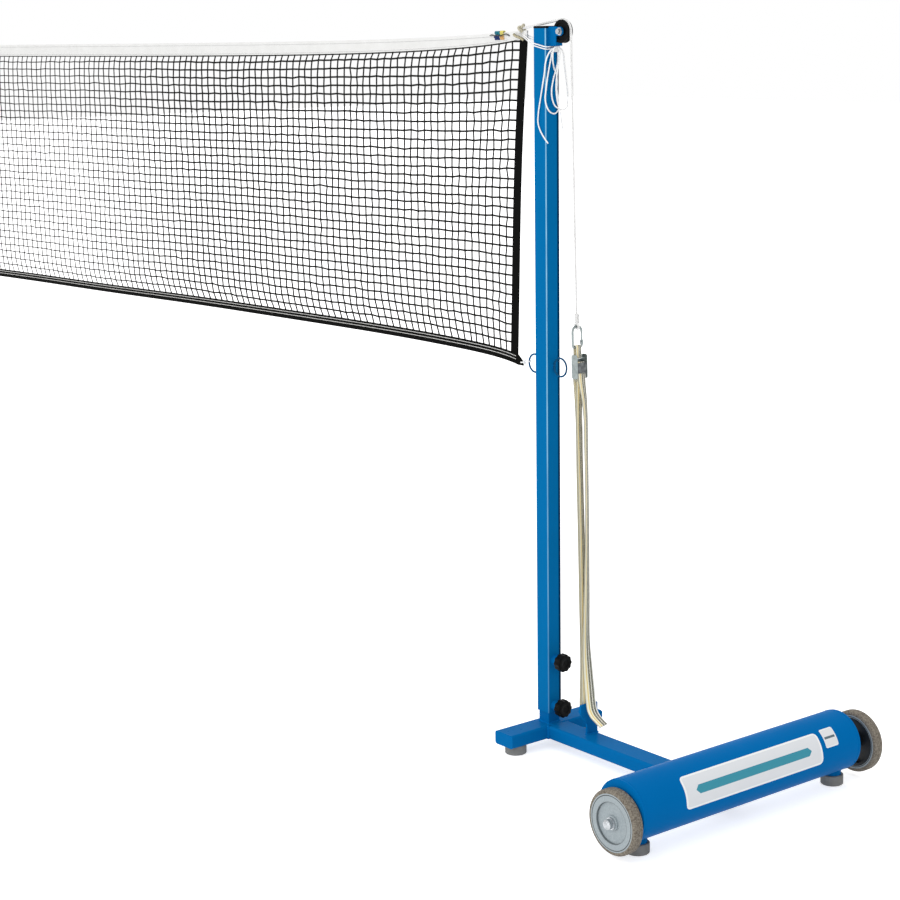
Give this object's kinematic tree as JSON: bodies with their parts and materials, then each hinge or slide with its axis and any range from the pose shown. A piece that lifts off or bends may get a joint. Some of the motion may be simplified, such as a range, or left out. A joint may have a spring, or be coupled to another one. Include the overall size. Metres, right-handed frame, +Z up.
{
  "type": "net on posts",
  "caption": "Black court net with a white head tape, stretched between wheeled and ballasted square posts by ropes, pulleys and cam straps.",
  "frame": {"origin": "on the floor under the middle of the net", "axes": "+X along the net towards the right post, +Y across the net, +Z up"},
  "size_m": [7.37, 0.76, 1.5667],
  "materials": {
    "blue_enamel": "glossy blue enamel, sprayed and baked on steel tube",
    "drum_enamel": "glossy blue enamel on rolled steel, lightly scuffed",
    "iron_ballast": "rough cast, hidden inside the drum",
    "grey_rubber": "moulded grey rubber, matte",
    "grey_wheel_plastic": "moulded grey polypropylene",
    "grey_tyre_rubber": "grey thermoplastic rubber, dusty",
    "black_nylon": "moulded black nylon",
    "black_knob_plastic": "moulded black plastic with a fine texture",
    "zinc_steel": "bright zinc plating",
    "cast_zinc_lever": "dark grey coated, ribbed at the thumb pad",
    "cream_webbing": "woven polyester webbing with dark edge threads",
    "white_rope": "braided polyester rope",
    "white_cord": "braided cotton cord",
    "white_tape": "doubled white coated tape with sewn edges",
    "black_tape": "black woven tape with white stitching",
    "black_netting": "knotted black nylon twine, square mesh"
  },
  "bodies": {
    "frame": {"ballast_cores": "iron_ballast", "ballast_drum_left": "drum_enamel", "ballast_drum_right": "drum_enamel", "base_beam_left": "blue_enamel", "base_beam_right": "blue_enamel", "bottom_hem": "black_tape", "bow_cord_left": "white_cord", "bow_cord_right": "white_cord", "buckle_frame_left": "zinc_steel", "buckle_frame_right": "zinc_steel", "clamp_nuts": "blue_enamel", "corner_lashings": "white_cord", "cross_foot_left": "blue_enamel", "cross_foot_right": "blue_enamel", "drum_end_plates": "drum_enamel", "foot_bosses": "blue_enamel", "head_bracket_left": "blue_enamel", "head_bracket_right": "blue_enamel", "head_tape": "white_tape", "lower_ties": "white_cord", "net_mesh": "black_netting", "net_rings": "blue_enamel", "post_caps": "black_knob_plastic", "post_stubs": "blue_enamel", "post_tube_left": "blue_enamel", "post_tube_right": "blue_enamel", "pulley_bolts": "zinc_steel", "rubber_feet": "grey_rubber", "side_tapes": "black_tape", "snap_hook_left": "zinc_steel", "snap_hook_right": "zinc_steel", "strap_eyes": "cream_webbing", "strap_lugs": "blue_enamel", "strap_webbing_left": "cream_webbing", "strap_webbing_right": "cream_webbing", "tail_cord_left": "white_cord", "tail_cord_right": "white_cord", "tension_rope_left": "white_rope", "tension_rope_right": "white_rope", "wheel_bolts": "zinc_steel", "wheel_spacers": "zinc_steel"},
    "wheel_right_front": {"wheel_disc_right_front": "grey_wheel_plastic", "wheel_tyre_right_front": "grey_tyre_rubber"},
    "wheel_right_back": {"wheel_disc_right_back": "grey_wheel_plastic", "wheel_tyre_right_back": "grey_tyre_rubber"},
    "pulley_right_body": {"pulley_right": "black_nylon"},
    "knob_upper_right_body": {"knob_upper_right": "black_knob_plastic"},
    "knob_lower_right_body": {"knob_lower_right": "black_knob_plastic"},
    "hook_gate_right_body": {"hook_gate_right": "zinc_steel"},
    "cam_lever_right_body": {"cam_lever_right": "cast_zinc_lever"},
    "wheel_left_front": {"wheel_disc_left_front": "grey_wheel_plastic", "wheel_tyre_left_front": "grey_tyre_rubber"},
    "wheel_left_back": {"wheel_disc_left_back": "grey_wheel_plastic", "wheel_tyre_left_back": "grey_tyre_rubber"},
    "pulley_left_body": {"pulley_left": "black_nylon"},
    "knob_upper_left_body": {"knob_upper_left": "black_knob_plastic"},
    "knob_lower_left_body": {"knob_lower_left": "black_knob_plastic"},
    "hook_gate_left_body": {"hook_gate_left": "zinc_steel"},
    "cam_lever_left_body": {"cam_lever_left": "cast_zinc_lever"}
  },
  "joints": [
    {"name": "wheel_right_front_roll", "type": "hinge", "parent": "frame", "child": "wheel_right_front", "pos_m": [3.62, -0.336, 0.076], "axis": [0, 1, 0], "continuous": true},
    {"name": "wheel_right_back_roll", "type": "hinge", "parent": "frame", "child": "wheel_right_back", "pos_m": [3.62, 0.351, 0.076], "axis": [0, 1, 0], "continuous": true},
    {"name": "pulley_right_turn", "type": "hinge", "parent": "frame", "child": "pulley_right_body", "pos_m": [3.102, 0, 1.54], "axis": [0, 1, 0], "continuous": true},
    {"name": "knob_upper_right_turn", "type": "hinge", "parent": "frame", "child": "knob_upper_right_body", "pos_m": [3.095, 0, 0.194], "axis": [1, 0, 0], "range_deg": [0, 360]},
    {"name": "knob_lower_right_turn", "type": "hinge", "parent": "frame", "child": "knob_lower_right_body", "pos_m": [3.095, 0, 0.09], "axis": [1, 0, 0], "range_deg": [0, 360]},
    {"name": "hook_gate_right_open", "type": "hinge", "parent": "frame", "child": "hook_gate_right_body", "pos_m": [3.14337, 0.0125, 0.90571], "axis": [0.9996, 0, 0.027], "range_deg": [0, 25], "stiffness_Nm_per_rad": 0.02, "springref_deg": -11.46},
    {"name": "cam_lever_right_lift", "type": "hinge", "parent": "frame", "child": "cam_lever_right_body", "pos_m": [3.14969, 0, 0.85686], "axis": [0, -1, 0], "range_deg": [0, 75], "stiffness_Nm_per_rad": 0.1, "springref_deg": -17.19},
    {"name": "wheel_left_front_roll", "type": "hinge", "parent": "frame", "child": "wheel_left_front", "pos_m": [-3.62, 0.336, 0.076], "axis": [0, 1, 0], "continuous": true},
    {"name": "wheel_left_back_roll", "type": "hinge", "parent": "frame", "child": "wheel_left_back", "pos_m": [-3.62, -0.351, 0.076], "axis": [0, 1, 0], "continuous": true},
    {"name": "pulley_left_turn", "type": "hinge", "parent": "frame", "child": "pulley_left_body", "pos_m": [-3.102, 0, 1.54], "axis": [0, 1, 0], "continuous": true},
    {"name": "knob_upper_left_turn", "type": "hinge", "parent": "frame", "child": "knob_upper_left_body", "pos_m": [-3.095, 0, 0.194], "axis": [-1, 0, 0], "range_deg": [0, 360]},
    {"name": "knob_lower_left_turn", "type": "hinge", "parent": "frame", "child": "knob_lower_left_body", "pos_m": [-3.095, 0, 0.09], "axis": [-1, 0, 0], "range_deg": [0, 360]},
    {"name": "hook_gate_left_open", "type": "hinge", "parent": "frame", "child": "hook_gate_left_body", "pos_m": [-3.14337, -0.0125, 0.90571], "axis": [-0.9996, 0, 0.027], "range_deg": [0, 25], "stiffness_Nm_per_rad": 0.02, "springref_deg": -11.46},
    {"name": "cam_lever_left_lift", "type": "hinge", "parent": "frame", "child": "cam_lever_left_body", "pos_m": [-3.14969, 0, 0.85686], "axis": [0, 1, 0], "range_deg": [0, 75], "stiffness_Nm_per_rad": 0.1, "springref_deg": -17.19}
  ]
}
